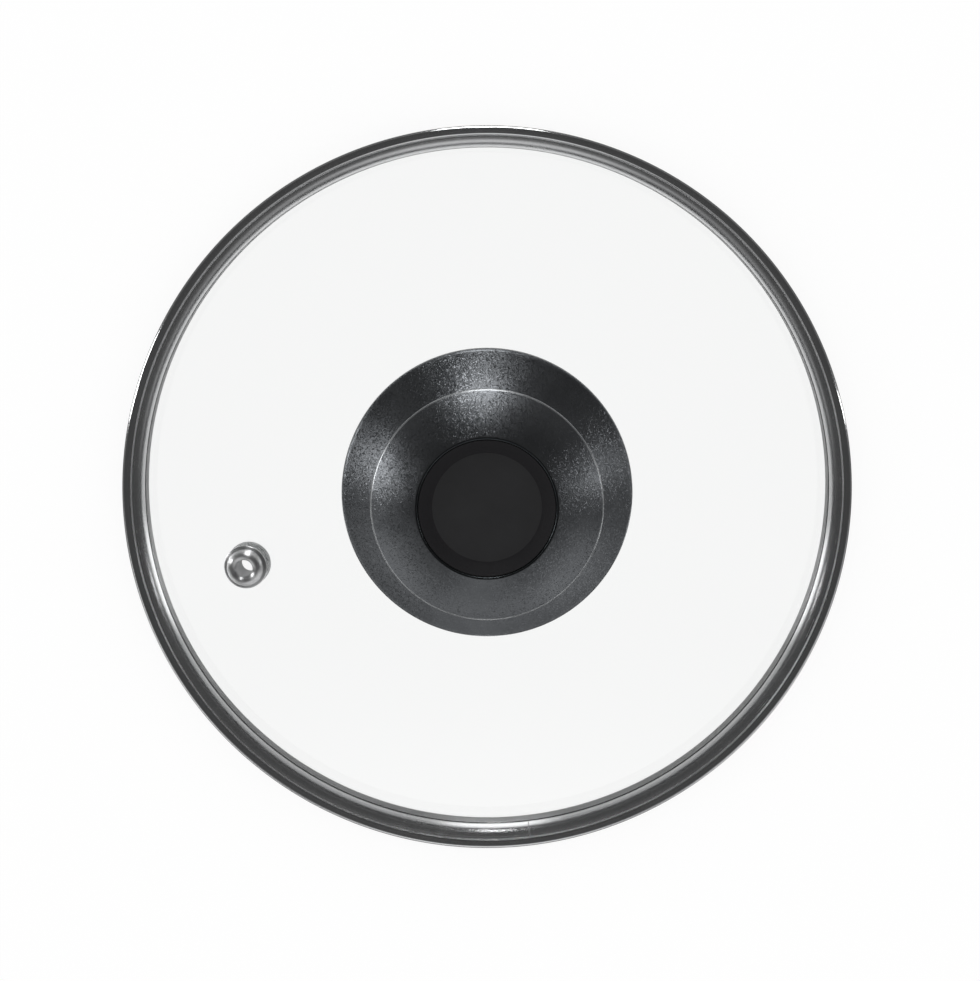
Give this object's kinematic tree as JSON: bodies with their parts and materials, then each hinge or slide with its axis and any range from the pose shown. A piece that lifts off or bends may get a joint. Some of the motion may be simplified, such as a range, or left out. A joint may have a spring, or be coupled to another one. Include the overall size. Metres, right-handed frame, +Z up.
{
  "type": "saucepan lid",
  "caption": "Round domed glass saucepan lid with a rolled stainless steel rim, a steel steam vent and a dark grey mushroom knob on a wide heat skirt.",
  "frame": {"origin": "on the lid's axis, in the plane of the rim's foot that the lid stands on", "axes": "+Z up along the lid's axis towards the knob's head; the steam vent lies towards -X and a little towards -Y"},
  "size_m": [0.166, 0.166, 0.0398],
  "materials": {
    "glass": "clear tempered glass, polished",
    "rim_steel": "polished stainless steel",
    "washer_steel": "plain stamped stainless steel",
    "knob_plastic": "satin phenolic with a fine metallic fleck",
    "cap_plastic": "matt",
    "silicone": "translucent grey silicone",
    "brass": "turned"
  },
  "bodies": {
    "root": {"rim_band": "rim_steel", "glass_dome": "glass", "vent_eyelet": "rim_steel", "vent_bush": "silicone", "vent_washer": "washer_steel", "knob_body": "knob_plastic", "knob_cap": "cap_plastic", "knob_insert": "brass", "knob_gasket": "silicone", "lower_gasket": "silicone", "clamp_washer": "washer_steel", "lock_washer": "rim_steel", "knob_screw": "rim_steel"}
  },
  "joints": []
}
